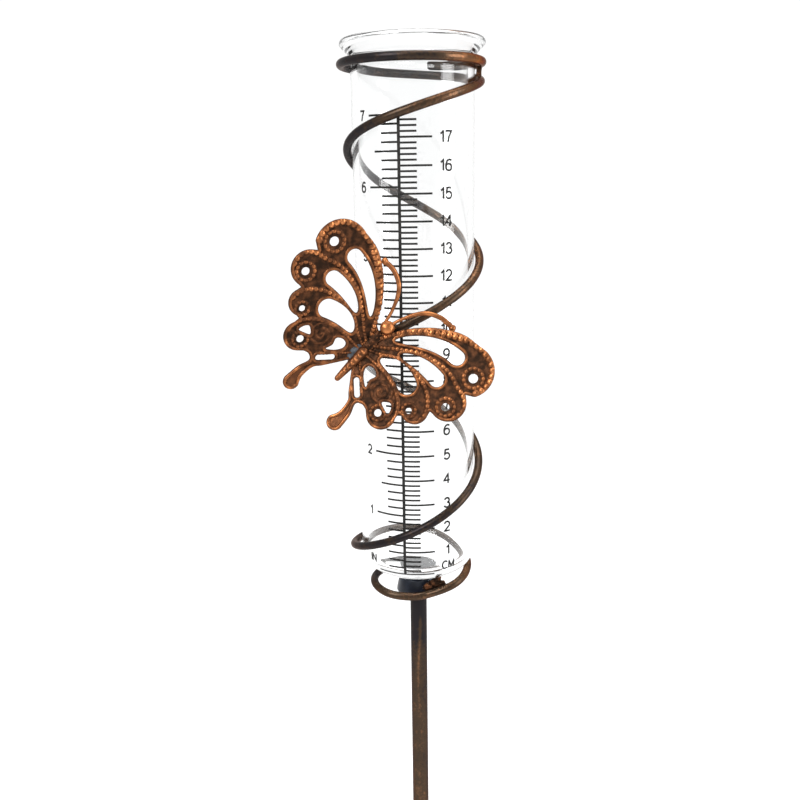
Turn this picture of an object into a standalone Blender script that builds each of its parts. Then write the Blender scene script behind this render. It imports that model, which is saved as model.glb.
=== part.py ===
"""A garden rain gauge: a glass measuring tube held in a wire spiral on a push-in stake.

Metres, +Z up. The origin is the flat tip of the stake, on the stake's axis. The
butterfly ornament is on the -Y side.
"""

import math
from bisect import bisect_right

import bmesh
import bpy
from mathutils import Matrix, Vector
from mathutils.geometry import tessellate_polygon

MM = 0.001
GAP = 0.3 * MM  # left between faces that touch on the real object
AXIS = 1e-9  # a radius below this lies on the axis

# Heights above the stake's tip.
SCALE_ZERO = 560 * MM  # where the tube's printed scale starts
STAKE_JOINT = 270 * MM  # where the two stake tubes meet

# Glass tube, with heights from the scale's zero.
GLASS_RADIUS = 23.45 * MM
GLASS_BORE = 21.1 * MM
GLASS_FOOT = -6.5 * MM
GLASS_FLOOR = -3.0 * MM
BOWL_RIM = 6.0 * MM  # below this height the tube curves in to its rounded bottom
BOWL_POWER = 2.9  # 2 would make the bottom's section an ellipse; more makes it flatter
FLARE_START = 198.5 * MM
LIP_BEAD = 1.7 * MM
LIP_RADIUS = 27.5 * MM
LIP_TOP = 206.0 * MM

# Stake and its head, with the head's heights from the scale's zero.
STAKE_RADIUS = 3.55 * MM
STAKE_BORE = 2.6 * MM
TIP_LENGTH = 30 * MM
TIP_FLAT = 1.2 * MM
SPIGOT_RADIUS = 2.2 * MM
SPIGOT_REACH = 35 * MM
HEAD_TOP_RADIUS = 8.2 * MM
HEAD_SKIRT_RADIUS = 9.2 * MM
HEAD_BASE = -16.7 * MM
HEAD_TOP = -9.3 * MM
HEAD_SOCKET = 4.5 * MM
PAD_RADIUS = 8.0 * MM

# Wire spiral. A turn of 0 is at +X, and turns count anticlockwise from above.
WIRE_RADIUS = 1.65 * MM
COIL_START = -0.85
COIL_END = 4.2
COIL_STEPS_PER_TURN = 22
COIL_RADII = (  # turn, millimetres from the tube's axis
    (-0.85, 11.2),
    (-0.75, 14.5),
    (-0.6, 18.6),
    (-0.5, 18.8),
    (-0.4, 17.0),
    (-0.3, 13.4),
    (-0.2, 12.5),
    (-0.1, 18.4),
    (0.0, 21.0),
    (0.1, 23.0),
    (0.2, 25.4),
    (0.5, 26.8),
    (1.0, 25.5),
    (1.5, 26.2),
    (2.0, 25.5),
    (3.0, 25.6),
    (3.5, 27.1),
    (4.1, 25.8),
    (4.2, 25.7),
)
COIL_HEIGHTS = (  # turn, millimetres above the scale's zero
    (-0.85, -12.0),
    (-0.5, -12.4),
    (-0.3, -14.2),
    (-0.2, -13.6),
    (-0.1, -9.6),
    (0.0, -6.6),
    (0.1, -4.2),
    (0.25, 1.7),
    (0.5, 5.0),
    (0.75, 20.5),
    (1.25, 65.0),
    (1.75, 104.0),
    (2.5, 165.5),
    (2.75, 180.0),
    (3.0, 190.8),
    (3.3, 196.4),
    (4.0, 197.2),
    (4.1, 197.8),
    (4.2, 198.9),
)
HEAD_WELD_TURN = -0.2
TOP_WELD_TURN = 4.03
BUTTERFLY_WELD_TURN = 1.67
BEAD_RADIUS = 1.3 * MM

# Butterfly. Its own frame has +Y towards the head and +Z out of its front face.
BUTTERFLY_AT = Vector((-18.2, -29.5, 95.9)) * MM  # from the scale's zero
BUTTERFLY_LEAN = 46.0  # degrees clockwise from upright, seen from the front
BUTTERFLY_TIP_BACK = -5.0
BUTTERFLY_TURN = 7.0
WING_RISE = 22.0  # how far each wing is folded up from flat
WING_THICKNESS = 1.8 * MM
BODY_SHIFT = 0.8  # the body sits this many millimetres off the wings' middle
FEELER_SHIFT = 0.1
FEELER_SPREAD = {-1: 1.0, 1: 1.05}  # the right feeler reaches further out

# Wing outline in millimetres from the butterfly's middle: out along the wing, and
# towards the head. A lobe is an arc: its centre, its radius, and two angles.
WING_ROOT = 3.4
LEADING_EDGE = ((7.6, 15.0), (12.5, 20.2), (17.5, 24.0), (24.0, 27.2))
WING_LOBES = (
    ((34.2, 18.5), 9.9, 105, -30),
    ((37.2, 5.2), 6.8, 50, -100),
    ((30.3, -5.2), 5.1, 20, -110),
    ((22.4, -15.0), 5.5, 30, -130),
)
WING_NOTCHES = ((39.8, 11.8), (34.6, -1.6), (26.9, -10.2), (16.9, -17.6))
TAIL_OUTER_EDGE = ((14.6, -17.2), (12.6, -18.8), (14.2, -23.3))
TAIL_PADDLE = ((11.8, -29.0), 3.1, 12, -192)
TAIL_INNER_EDGE = ((10.2, -25.0), (9.7, -20.0), (7.4, -17.2))
ROUND_HOLES = (
    ((37.6, 18.0), 1.75),
    ((37.6, 3.5), 1.5),
    ((28.8, -6.8), 1.15),
    ((21.1, -15.3), 1.4),
)
# A teardrop opening: its tip, the bend of its middle line, its round end and end radius.
TEARDROPS = (
    ((6.8, 8.2), (17.0, 19.0), (28.0, 19.4), 2.85),
    ((12.0, 5.6), (19.9, 9.7), (28.2, 8.6), 2.85),
    ((7.8, -0.8), (13.9, 2.5), (21.6, -0.5), 3.6),
)
SLOT = ((6.7, -12.3), (10.7, -15.9), 1.1)
# The hind wing's leaf and moon openings.
LEAF = ((11.0, -11.7), (10.2, -8.9), (10.9, -6.2), (8.8, -4.8), (6.5, -5.2), (6.0, -7.1), (7.8, -9.7))
MOON = ((24.0, -13.1), (23.7, -11.1), (22.2, -9.6), (20.3, -10.5), (19.5, -11.7), (21.6, -12.6))

ANTENNA_ROUTE = ((1.5, 12.7, 1.8), (2.6, 16.0, 2.6), (4.4, 20.0, 3.4), (7.2, 23.6, 4.1),
                 (11.5, 25.8, 4.8), (15.3, 26.2, 5.2), (16.6, 26.1, 5.4), (17.6, 26.0, 5.5))
ANTENNA_RADII = (0.8, 0.8, 0.8, 0.8, 0.8, 0.8, 1.3, 0.9)


def clear_scene():
    """Removes every object that the file opened with."""
    for item in list(bpy.data.objects):
        bpy.data.objects.remove(item, do_unlink=True)


def finish(name, colour, roughness, metallic, transmission=0.0):
    """A plain Principled material."""
    material = bpy.data.materials.new(f"{name}_finish")
    material.use_nodes = True
    shader = material.node_tree.nodes["Principled BSDF"]
    shader.inputs["Base Color"].default_value = (*colour, 1.0)
    shader.inputs["Roughness"].default_value = roughness
    shader.inputs["Metallic"].default_value = metallic
    shader.inputs["Transmission Weight"].default_value = transmission
    return material


def antique_copper(name):
    return finish(name, (0.28, 0.12, 0.05), 0.42, 0.9)


def dark_bronze(name):
    return finish(name, (0.10, 0.06, 0.045), 0.45, 0.85)


def black_steel(name):
    return finish(name, (0.03, 0.03, 0.035), 0.4, 0.6)


def add_mesh(name, mesh, material, smooth=True):
    """Turns a bmesh into a linked object whose faces point out."""
    bmesh.ops.recalc_face_normals(mesh, faces=mesh.faces)
    data = bpy.data.meshes.new(name)
    mesh.to_mesh(data)
    mesh.free()
    if smooth:
        data.shade_smooth()
        data.set_sharp_from_angle(angle=math.radians(40))
    data.materials.append(material)
    item = bpy.data.objects.new(name, data)
    bpy.context.scene.collection.objects.link(item)
    return item


def add_empty(name, location, parent=None):
    item = bpy.data.objects.new(name, None)
    item.location = location
    item.parent = parent
    bpy.context.scene.collection.objects.link(item)
    return item


def arc(centre, radius, start, end, steps):
    """Points on a circle from one angle to another, in degrees."""
    points = []
    for step in range(steps + 1):
        angle = math.radians(start + (end - start) * step / steps)
        points.append((centre[0] + radius * math.cos(angle), centre[1] + radius * math.sin(angle)))
    return points


def turned(name, profile, material, segments=32, ring=False):
    """A solid of revolution about Z from (radius, height) points.

    The profile starts and ends on the axis, or is closed into a ring.
    """
    mesh = bmesh.new()
    rows = []
    for radius, height in profile:
        if radius < AXIS:
            rows.append([mesh.verts.new((0, 0, height))])
            continue
        angles = [2 * math.pi * i / segments for i in range(segments)]
        rows.append([mesh.verts.new((radius * math.cos(a), radius * math.sin(a), height))
                     for a in angles])
    following = rows[1:] + ([rows[0]] if ring else [])
    for row, other in zip(rows, following):
        for i in range(segments):
            j = (i + 1) % segments
            corners = [row[i % len(row)], row[j % len(row)]]
            corners += [other[j % len(other)], other[i % len(other)]]
            corners = list(dict.fromkeys(corners))
            if len(corners) > 2:
                mesh.faces.new(corners)
    return add_mesh(name, mesh, material)


def ellipsoid(name, semi_axes, material, segments=16, rings=10):
    """A rounded body about its own origin."""
    mesh = bmesh.new()
    bmesh.ops.create_uvsphere(mesh, u_segments=segments, v_segments=rings, radius=1.0)
    bmesh.ops.scale(mesh, vec=semi_axes, verts=mesh.verts)
    return add_mesh(name, mesh, material)


def rod_along(name, points, radius, material, scales=None, sides=2):
    """A round rod that follows points, with closed ends; scales widen it point by point."""
    data = bpy.data.curves.new(name, "CURVE")
    data.dimensions = "3D"
    data.bevel_depth = radius
    data.bevel_resolution = sides
    data.use_fill_caps = True
    spline = data.splines.new("POLY")
    spline.points.add(len(points) - 1)
    for index, (place, point) in enumerate(zip(points, spline.points)):
        point.co = (*place, 1.0)
        point.radius = scales[index] if scales else 1.0
    data.materials.append(material)
    item = bpy.data.objects.new(name, data)
    bpy.context.scene.collection.objects.link(item)
    return item


def through(knots, turn):
    """The value at a turn on a smooth curve through (turn, value) knots."""
    turns = [knot[0] for knot in knots]
    values = [knot[1] for knot in knots]
    last = len(knots) - 1
    i = min(max(bisect_right(turns, turn) - 1, 0), last - 1)

    def slope(k):
        low, high = max(k - 1, 0), min(k + 1, last)
        return (values[high] - values[low]) / (turns[high] - turns[low])

    span = turns[i + 1] - turns[i]
    s = (turn - turns[i]) / span
    start = (1 + 2 * s) * (1 - s) ** 2 * values[i] + s * (1 - s) ** 2 * span * slope(i)
    end = s * s * (3 - 2 * s) * values[i + 1] + s * s * (s - 1) * span * slope(i + 1)
    return start + end


def coil_point(turn):
    """A point on the middle line of the spiral's wire."""
    radius = through(COIL_RADII, turn) * MM
    height = SCALE_ZERO + through(COIL_HEIGHTS, turn) * MM
    angle = 2 * math.pi * turn
    return Vector((radius * math.cos(angle), radius * math.sin(angle), height))


def bowl(radius, bottom, steps=9):
    """The section of a rounded bottom, from the axis out to a wall's radius."""
    points = []
    for step in range(steps + 1):
        angle = math.pi / 2 * (1 - step / steps)
        across = radius * math.cos(angle) ** (2 / BOWL_POWER)
        down = (BOWL_RIM - bottom) * math.sin(angle) ** (2 / BOWL_POWER)
        points.append((across, BOWL_RIM - down))
    return points


def make_glass_tube(lift):
    """The measuring tube: rounded bottom, straight wall, flared mouth with a rolled lip."""
    profile = bowl(GLASS_RADIUS, GLASS_FOOT)
    bead_centre = (LIP_RADIUS - LIP_BEAD, LIP_TOP - LIP_BEAD)
    bead = arc(bead_centre, LIP_BEAD, -40, 150, 8)
    profile += [(GLASS_RADIUS, FLARE_START), (GLASS_RADIUS + 1.0 * MM, FLARE_START + 2.0 * MM)]
    profile += bead
    profile += [(GLASS_BORE + 1.3 * MM, FLARE_START + 2.5 * MM), (GLASS_BORE, FLARE_START)]
    profile += reversed(bowl(GLASS_BORE, GLASS_FLOOR))
    glass = finish("glass_tube", (0.95, 0.97, 0.97), 0.03, 0.0, 1.0)
    turned("glass_tube", profile, glass, 40).parent = lift


def make_stake(joint):
    """Two tubes joined by a spigot, with a solid point at the foot."""
    point = [(0.0, 0.0), (TIP_FLAT, 0.0), (STAKE_RADIUS, TIP_LENGTH), (0.0, TIP_LENGTH)]
    turned("stake_point", point, dark_bronze("stake_point"), 24)

    low, high = TIP_LENGTH + GAP, STAKE_JOINT - GAP
    lower = [(STAKE_RADIUS, low), (STAKE_RADIUS, high), (STAKE_BORE, high), (STAKE_BORE, low)]
    turned("lower_stake_tube", lower, dark_bronze("lower_stake_tube"), 24, ring=True)

    spigot_low, spigot_high = STAKE_JOINT - SPIGOT_REACH, STAKE_JOINT + SPIGOT_REACH
    chamfer = 1.0 * MM
    spigot = [(0.0, spigot_low), (SPIGOT_RADIUS, spigot_low), (SPIGOT_RADIUS, spigot_high - chamfer),
              (SPIGOT_RADIUS - chamfer, spigot_high), (0.0, spigot_high)]
    turned("joint_spigot", spigot, black_steel("joint_spigot"), 20)

    top = SCALE_ZERO + HEAD_BASE + HEAD_SOCKET - GAP - STAKE_JOINT
    upper = [(STAKE_RADIUS, 0.0), (STAKE_RADIUS, top), (STAKE_BORE, top), (STAKE_BORE, 0.0)]
    turned("upper_stake_tube", upper, dark_bronze("upper_stake_tube"), 24, ring=True).parent = joint


def make_stake_head(joint):
    """A flanged steel cap on the stake and the rubber pad that the tube rests on."""
    base = SCALE_ZERO + HEAD_BASE - STAKE_JOINT
    crown = SCALE_ZERO + HEAD_TOP - STAKE_JOINT
    socket = STAKE_RADIUS + GAP
    cap = [(0.0, base + HEAD_SOCKET), (socket, base + HEAD_SOCKET), (socket, base),
           (HEAD_SKIRT_RADIUS, base), (HEAD_TOP_RADIUS, crown - 1.0 * MM),
           (HEAD_TOP_RADIUS - 0.8 * MM, crown), (0.0, crown)]
    turned("stake_head", cap, black_steel("stake_head"), 32).parent = joint

    pad_low = crown + GAP
    pad_high = SCALE_ZERO + GLASS_FOOT - GAP - STAKE_JOINT
    rounding = 0.5 * MM
    pad = [(0.0, pad_low), (PAD_RADIUS, pad_low), (PAD_RADIUS, pad_high - rounding),
           (PAD_RADIUS - rounding, pad_high), (0.0, pad_high)]
    turned("rest_pad", pad, finish("rest_pad", (0.012, 0.012, 0.014), 0.5, 0.0), 32).parent = joint


def make_spiral(joint):
    """The one wire, with a base loop, an open spiral and a top ring, and its welds."""
    steps = round((COIL_END - COIL_START) * COIL_STEPS_PER_TURN)
    turns = [COIL_START + (COIL_END - COIL_START) * i / steps for i in range(steps + 1)]
    shift = Vector((0, 0, -STAKE_JOINT))
    route = [coil_point(turn) + shift for turn in turns]
    rod_along("spiral_wire", route, WIRE_RADIUS, dark_bronze("spiral_wire"), sides=3).parent = joint

    # A bead in the groove between the wire and the head's skirt.
    wire = coil_point(HEAD_WELD_TURN) + shift
    out = Vector((wire.x, wire.y, 0)).normalized()
    bead_radius = HEAD_SKIRT_RADIUS + GAP + BEAD_RADIUS
    aside = Vector((wire.x, wire.y)).length - bead_radius
    rise = math.sqrt((WIRE_RADIUS + GAP + BEAD_RADIUS) ** 2 - aside ** 2)
    head = ellipsoid("stake_head_weld", [BEAD_RADIUS] * 3, antique_copper("stake_head_weld"), 12, 8)
    head.location = out * bead_radius + Vector((0, 0, wire.z + rise))
    head.parent = joint

    # A short bridge from the top ring's end down to the turn below it.
    high = coil_point(TOP_WELD_TURN) + shift
    low = coil_point(TOP_WELD_TURN - 1) + shift
    middle = (high + low) / 2
    reach = (high - low).length / 2 - WIRE_RADIUS - 2 * GAP
    bridge = turned("top_ring_weld", [(0.0, -reach), (1.0 * MM, -reach), (1.0 * MM, reach), (0.0, reach)],
                    antique_copper("top_ring_weld"), 12)
    bridge.location = middle
    bridge.rotation_euler = (high - low).to_track_quat("Z", "Y").to_euler()
    bridge.parent = joint


def bezier(start, bend, end, s):
    """A point and its direction on a quadratic curve."""
    start, bend, end = Vector(start), Vector(bend), Vector(end)
    point = (1 - s) ** 2 * start + 2 * s * (1 - s) * bend + s * s * end
    direction = 2 * (1 - s) * (bend - start) + 2 * s * (end - bend)
    return point, direction.normalized()


def teardrop(tip, bend, end, radius, steps=6):
    """An opening that starts at a point and widens to a round end along a bent middle line."""
    near, far = [], []
    for step in range(1, steps + 1):
        s = step / steps
        point, direction = bezier(tip, bend, end, s)
        side = Vector((-direction.y, direction.x)) * radius * math.sqrt(s * (2 - s))
        near.append(point + side)
        far.append(point - side)
    _, direction = bezier(tip, bend, end, 1.0)
    heading = math.degrees(math.atan2(direction.y, direction.x))
    cap = arc(end, radius, heading + 90, heading - 90, 6)[1:-1]
    return [tip, *near, *cap, *reversed(far)]


def slot(start, end, radius):
    """A long hole with round ends."""
    heading = math.degrees(math.atan2(end[1] - start[1], end[0] - start[0]))
    far = arc(end, radius, heading - 90, heading + 90, 4)
    near = arc(start, radius, heading + 90, heading + 270, 4)
    return far + near


def wing_outline():
    """The wing's outer edge, from its root along the leading edge and back."""
    points = [(WING_ROOT, 8.0), *LEADING_EDGE]
    for (centre, radius, start, end), notch in zip(WING_LOBES, WING_NOTCHES):
        points += [*arc(centre, radius, start, end, 8), notch]
    points += [*TAIL_OUTER_EDGE, *arc(*TAIL_PADDLE, 8), *TAIL_INNER_EDGE, (WING_ROOT, -12.0)]
    return points


def make_wing(name, side, butterfly):
    """A pierced plate, folded up from the butterfly's middle line. The side is -1 or 1."""
    loops = [wing_outline()]
    loops += [arc(centre, radius, 0, 360 - 40, 8) for centre, radius in ROUND_HOLES]
    loops += [teardrop(*shape) for shape in TEARDROPS]
    loops += [slot(*SLOT), LEAF, MOON]
    flat = [[Vector((x * MM, y * MM, 0.0)) for x, y in loop] for loop in loops]
    triangles = tessellate_polygon(flat)

    mesh = bmesh.new()
    layers = []
    for height in (-WING_THICKNESS / 2, WING_THICKNESS / 2):
        layers.append([mesh.verts.new((side * p.x, p.y, height)) for loop in flat for p in loop])
    for layer in layers:
        for triangle in triangles:
            mesh.faces.new([layer[i] for i in triangle])
    start = 0
    for loop in flat:
        for i in range(len(loop)):
            a, b = start + i, start + (i + 1) % len(loop)
            mesh.faces.new([layers[0][a], layers[0][b], layers[1][b], layers[1][a]])
        start += len(loop)
    wing = add_mesh(name, mesh, antique_copper(name), smooth=False)
    wing.rotation_euler = (0, -side * math.radians(WING_RISE), 0)
    wing.parent = butterfly


def make_antenna(name, side, butterfly):
    """A curved feeler that ends in a small knob."""
    reach = side * FEELER_SPREAD[side]
    route = [Vector((FEELER_SHIFT + reach * x, y, z)) * MM for x, y, z in ANTENNA_ROUTE]
    scales = [radius / ANTENNA_RADII[0] for radius in ANTENNA_RADII]
    rod_along(name, route, ANTENNA_RADII[0] * MM, antique_copper(name), scales).parent = butterfly


def make_butterfly(joint):
    """The ornament: two wings, body, head and feelers, welded to the spiral's wire."""
    butterfly = add_empty("butterfly", BUTTERFLY_AT + Vector((0, 0, SCALE_ZERO - STAKE_JOINT)), joint)
    pose = (Matrix.Rotation(math.radians(BUTTERFLY_TURN), 3, "Z")
            @ Matrix.Rotation(math.radians(BUTTERFLY_TIP_BACK), 3, "X")
            @ Matrix.Rotation(math.radians(BUTTERFLY_LEAN), 3, "Y")
            @ Matrix.Rotation(math.radians(90), 3, "X"))
    butterfly.rotation_euler = pose.to_euler()

    make_wing("left_wing", -1, butterfly)
    make_wing("right_wing", 1, butterfly)
    make_antenna("left_antenna", -1, butterfly)
    make_antenna("right_antenna", 1, butterfly)

    thorax_size = (2.0 * MM, 4.6 * MM, 2.0 * MM)
    thorax = ellipsoid("butterfly_thorax", thorax_size, antique_copper("butterfly_thorax"))
    thorax.location = (BODY_SHIFT * MM, 2.6 * MM, 0.8 * MM)
    head_size = (2.3 * MM, 2.3 * MM, 2.0 * MM)
    head = ellipsoid("butterfly_head", head_size, antique_copper("butterfly_head"))
    head.location = (BODY_SHIFT * MM, 10.1 * MM, 1.5 * MM)
    taper = ((0.0, 17.3), (0.8, 16.4), (1.4, 11.0), (1.9, 5.5), (1.85, 3.3), (1.2, 2.5), (0.0, 2.4))
    taper = [(radius * MM, along * MM) for radius, along in taper]
    abdomen = turned("butterfly_abdomen", taper, antique_copper("butterfly_abdomen"), 14)
    abdomen.location = (BODY_SHIFT * MM, 0.0, 0.8 * MM)
    abdomen.rotation_euler = (math.radians(90), 0, 0)
    for piece in (thorax, head, abdomen):
        piece.parent = butterfly

    # The weld bridges the wire, where it passes behind the body, and the body's back.
    wire = coil_point(BUTTERFLY_WELD_TURN) - BUTTERFLY_AT - Vector((0, 0, SCALE_ZERO))
    local = pose.inverted() @ wire
    low = local.z + WIRE_RADIUS + 3 * GAP
    high = -1.2 * MM - GAP
    waist = [(0.0, low), (1.2 * MM, low), (0.9 * MM, (low + high) / 2), (1.3 * MM, high), (0.0, high)]
    weld = turned("butterfly_weld", waist, antique_copper("butterfly_weld"), 12)
    weld.location = (local.x, local.y, 0.0)
    weld.parent = butterfly


def main():
    clear_scene()
    joint = add_empty("stake_joint", (0, 0, STAKE_JOINT))
    lift = add_empty("tube_lift", (0, 0, SCALE_ZERO - STAKE_JOINT), joint)
    make_stake(joint)
    make_stake_head(joint)
    make_spiral(joint)
    make_butterfly(joint)
    make_glass_tube(lift)
    bpy.context.view_layer.update()


main()
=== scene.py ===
"""The looks of a garden rain gauge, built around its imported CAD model.

Everything is in the CAD's frame: metres, +Z up, the stake's tip at the origin and the
butterfly on the -Y side. Shapes are drawn in millimetres from a few driving dimensions.
"""

import math
from bisect import bisect_right

import bmesh
import bpy
import numpy as np
from mathutils import Matrix, Vector, noise
from mathutils.geometry import delaunay_2d_cdt


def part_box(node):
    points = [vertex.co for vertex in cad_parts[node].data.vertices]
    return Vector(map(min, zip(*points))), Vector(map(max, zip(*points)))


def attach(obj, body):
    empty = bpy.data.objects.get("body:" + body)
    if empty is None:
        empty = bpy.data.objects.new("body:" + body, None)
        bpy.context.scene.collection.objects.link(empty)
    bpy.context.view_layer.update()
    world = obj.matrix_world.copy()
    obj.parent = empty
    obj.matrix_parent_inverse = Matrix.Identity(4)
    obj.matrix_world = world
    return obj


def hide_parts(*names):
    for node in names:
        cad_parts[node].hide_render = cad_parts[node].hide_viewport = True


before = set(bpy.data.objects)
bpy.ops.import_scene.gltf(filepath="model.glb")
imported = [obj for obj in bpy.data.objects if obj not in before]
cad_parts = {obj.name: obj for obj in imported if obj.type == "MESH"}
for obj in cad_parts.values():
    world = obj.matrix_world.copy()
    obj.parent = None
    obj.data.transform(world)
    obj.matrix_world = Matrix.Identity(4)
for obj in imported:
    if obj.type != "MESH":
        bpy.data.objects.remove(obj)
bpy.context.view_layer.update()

MM = 0.001
HOLDER = "holder"
TUBE = "measuring_tube"
STAKE = "lower_stake"

# Glass tube. Its heights are from the scale's zero.
SCALE_ZERO = 0.560
TUBE_LOW, TUBE_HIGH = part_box("glass_tube")
GLASS_RADIUS = 23.45 * MM
GLASS_BORE = 21.1 * MM
GLASS_FOOT = TUBE_LOW.z - SCALE_ZERO
GLASS_FLOOR = -3.0 * MM
BOWL_RIM = 6.0 * MM  # below this height the tube curves in to its rounded bottom
BOWL_POWER = 2.9
FLARE_START = 198.5 * MM
LIP_BEAD = 1.7 * MM
LIP_TOP = TUBE_HIGH.z - SCALE_ZERO
LIP_RADIUS = TUBE_HIGH.x

# Light that turns in the glass more often than this is replaced by a painted glow: painted white light in
# the round bottom, painted near-black shade in the lip.
BOTTOM_TURNS, LIP_TURNS, WALL_TURNS = 4.5, 3.5, 99.0
BOTTOM_PAINTED_LIGHT, LIP_PAINTED_SHADE = 0.95, 0.04

# Printed scale. Angles are degrees round the tube from its front, towards +X.
INK_LIFT = 0.02 * MM
INK_THICKNESS = 0.05 * MM
SCALE_LINE_ANGLE = -13.4
SCALE_LINE_WIDTH = 1.15 * MM
TICK_WIDTH = 0.75 * MM
PEN_WIDTH = 0.72 * MM
GLYPH_GAP = 0.24  # between letters, as a share of their height
CENTIMETRES = 17
INCHES = 7
INCH = 25.4 * MM
CM_TICK_ENDS = {"short": 2.6, "long": 16.5}
INCH_TICK_ENDS = {"short": -30.2, "half": -37.3, "long": -43.5}
CM_NUMBER_ANGLE = 29.6
INCH_NUMBER_ANGLE = -52.8
NUMBER_HEIGHT = 3.9 * MM
UNIT_HEIGHT = 3.2 * MM

# Wire spiral, as in the CAD: (turn, millimetres). A turn of 0 is at +X, anticlockwise from above.
WIRE_RADIUS = 1.65 * MM
COIL_START = -0.85
COIL_END = 4.2
COIL_RADII = (
    (-0.85, 11.2), (-0.75, 14.5), (-0.6, 18.6), (-0.5, 18.8), (-0.4, 17.0), (-0.3, 13.4), (-0.2, 12.5),
    (-0.1, 18.4), (0.0, 21.0), (0.1, 23.0), (0.2, 25.4), (0.5, 26.8), (1.0, 25.5), (1.5, 26.2),
    (2.0, 25.5), (3.0, 25.6), (3.5, 27.1), (4.1, 25.8), (4.2, 25.7),
)
COIL_HEIGHTS = (
    (-0.85, -12.0), (-0.5, -12.4), (-0.3, -14.2), (-0.2, -13.6), (-0.1, -9.6), (0.0, -6.6), (0.1, -4.2),
    (0.25, 1.7), (0.5, 5.0), (0.75, 20.5), (1.25, 65.0), (1.75, 104.0), (2.5, 165.5), (2.75, 180.0),
    (3.0, 190.8), (3.3, 196.4), (4.0, 197.2), (4.1, 197.8), (4.2, 198.9),
)
# How far the dark finish is rubbed through to copper along the wire, from 0 to 1.
WIRE_RUB = (
    (-0.85, 0.1), (-0.5, 0.2), (-0.3, 0.35), (-0.15, 0.35), (-0.05, 0.5), (0.1, 0.25), (0.5, 0.25),
    (0.75, 0.05), (1.0, 0.3), (1.5, 0.1), (1.75, 0.3), (2.0, 0.45), (2.3, 0.1), (2.5, 0.0), (2.65, 0.1),
    (2.8, 0.45), (2.95, 0.55), (3.2, 0.1), (3.65, 0.05), (3.78, 0.2), (3.88, 0.8), (4.0, 0.6),
    (4.2, 0.1),
)
TOP_WELD_TURN = 4.03
BUTTERFLY_WELD_TURN = 1.67
HEAD_WELD_TURN = -0.2

# Stake, head and pad.
STAKE_RADIUS = 3.55 * MM
STAKE_BORE = 2.6 * MM
TIP_FLAT = 1.2 * MM
HEAD_TOP_RADIUS = 8.2 * MM
HEAD_SKIRT_RADIUS = 9.2 * MM
PAD_RADIUS = 8.0 * MM
HEAD_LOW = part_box("stake_head")[0].z
HEAD_SOCKET = 4.0 * MM  # the depth of the head's socket for the stake
BROWN_REACH = 45 * MM  # the stake's finish turns brown over this length below the head
# The copper streak down the front of the stake is a painted highlight.
HIGHLIGHT_STREAK_START = 14 * MM
HIGHLIGHT_STREAK_HALF_ANGLE = 11.0

# The head weld's lumps, in millimetres: along the wire, up, semi-axes, and a seed.
HEAD_WELD_LUMPS = (
    (1.2, -0.6, (2.8, 1.5, 1.5), 1.3),
    (3.6, 0.2, (2.0, 1.7, 2.2), 4.1),
    (4.6, 2.2, (1.6, 1.5, 2.4), 7.7),
    (5.6, -0.8, (2.6, 1.4, 1.5), 9.2),
)
# A weld's radii at its waist and at its ends, in millimetres.
RING_WELD_RADII = (1.0, 1.55)
BUTTERFLY_WELD_RADII = (1.15, 2.45)

# Butterfly, as in the CAD. Its own frame has +Y towards the head and +Z out of its front.
BUTTERFLY_AT = Vector((-18.2, -29.5, 95.9)) * MM + Vector((0, 0, SCALE_ZERO))
BUTTERFLY_LEAN = 46.0
BUTTERFLY_TIP_BACK = -5.0
BUTTERFLY_TURN = 7.0
WING_RISE = 22.0

# The butterfly's body, in millimetres.
BODY_SHIFT = 0.8
THORAX = ((BODY_SHIFT, 2.2, 0.5), (2.3, 5.2, 1.5))  # centre and semi-axes
HEAD_BALL = ((BODY_SHIFT + 0.3, 9.5, 1.5), (2.75, 2.75, 2.2))
ABDOMEN_START = -1.2
ABDOMEN_LENGTH = 16.6
ABDOMEN_RADIUS = 2.25
ABDOMEN_MIDDLE = 0.9
BUTTERFLY_BACK = -0.8
PUDDLE = ((-1.2, -5.2, 0.6), (2.9, 3.6, 0.9))
FEELER_SHIFT = 0.1
FEELER_SPREAD = {-1: 1.0, 1: 1.05}  # the right feeler reaches further out

# Wing outline in millimetres: out along the wing, and towards the head. A lobe is an
# arc: its centre, its radius, and two angles.
WING_ROOT = 0.4
LEADING_EDGE = ((WING_ROOT, 6.6), (3.6, 8.6), (7.6, 15.0), (12.5, 20.2), (17.5, 24.0), (24.0, 27.2))
WING_LOBES = (
    ((34.2, 18.5), 9.9, 105, -30),
    ((37.2, 5.2), 6.8, 50, -100),
    ((30.3, -5.2), 5.1, 20, -110),
    ((22.4, -15.0), 5.5, 30, -130),
)
WING_NOTCHES = ((39.8, 11.8), (34.6, -1.6), (26.9, -10.2), (16.9, -17.6))
TAIL_OUTER_EDGE = ((16.9, -17.6), (14.6, -17.2), (12.6, -18.8), (14.2, -23.3))
TAIL_PADDLE = ((11.8, -29.0), 3.1, 12, -192)
TAIL_INNER_EDGE = ((10.2, -25.0), (9.7, -20.0), (7.4, -17.2), (3.4, -12.0), (WING_ROOT, -8.0))
ROUND_HOLES = (
    ((37.6, 18.0), 1.75),
    ((37.6, 3.5), 1.5),
    ((28.8, -6.8), 1.15),
    ((21.1, -15.3), 1.4),
)
# A teardrop opening: its tip, the bend of its middle line, its round end and end radius.
TEARDROPS = (
    ((6.8, 8.2), (17.0, 19.0), (28.0, 19.4), 2.85),
    ((12.0, 5.6), (19.9, 9.7), (28.2, 8.6), 2.85),
    ((7.8, -0.8), (13.9, 2.5), (21.6, -0.5), 3.6),
)
SLOT = ((6.7, -12.3), (10.7, -15.9), 1.1)
# The hind wing's leaf and moon openings.
LEAF = ((11.0, -11.7), (10.2, -8.9), (10.9, -6.2), (8.8, -4.8), (6.5, -5.2), (6.0, -7.1), (7.8, -9.7))
MOON = ((24.0, -13.1), (23.7, -11.1), (22.2, -9.6), (20.3, -10.5), (19.5, -11.7), (21.6, -12.6))

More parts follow.
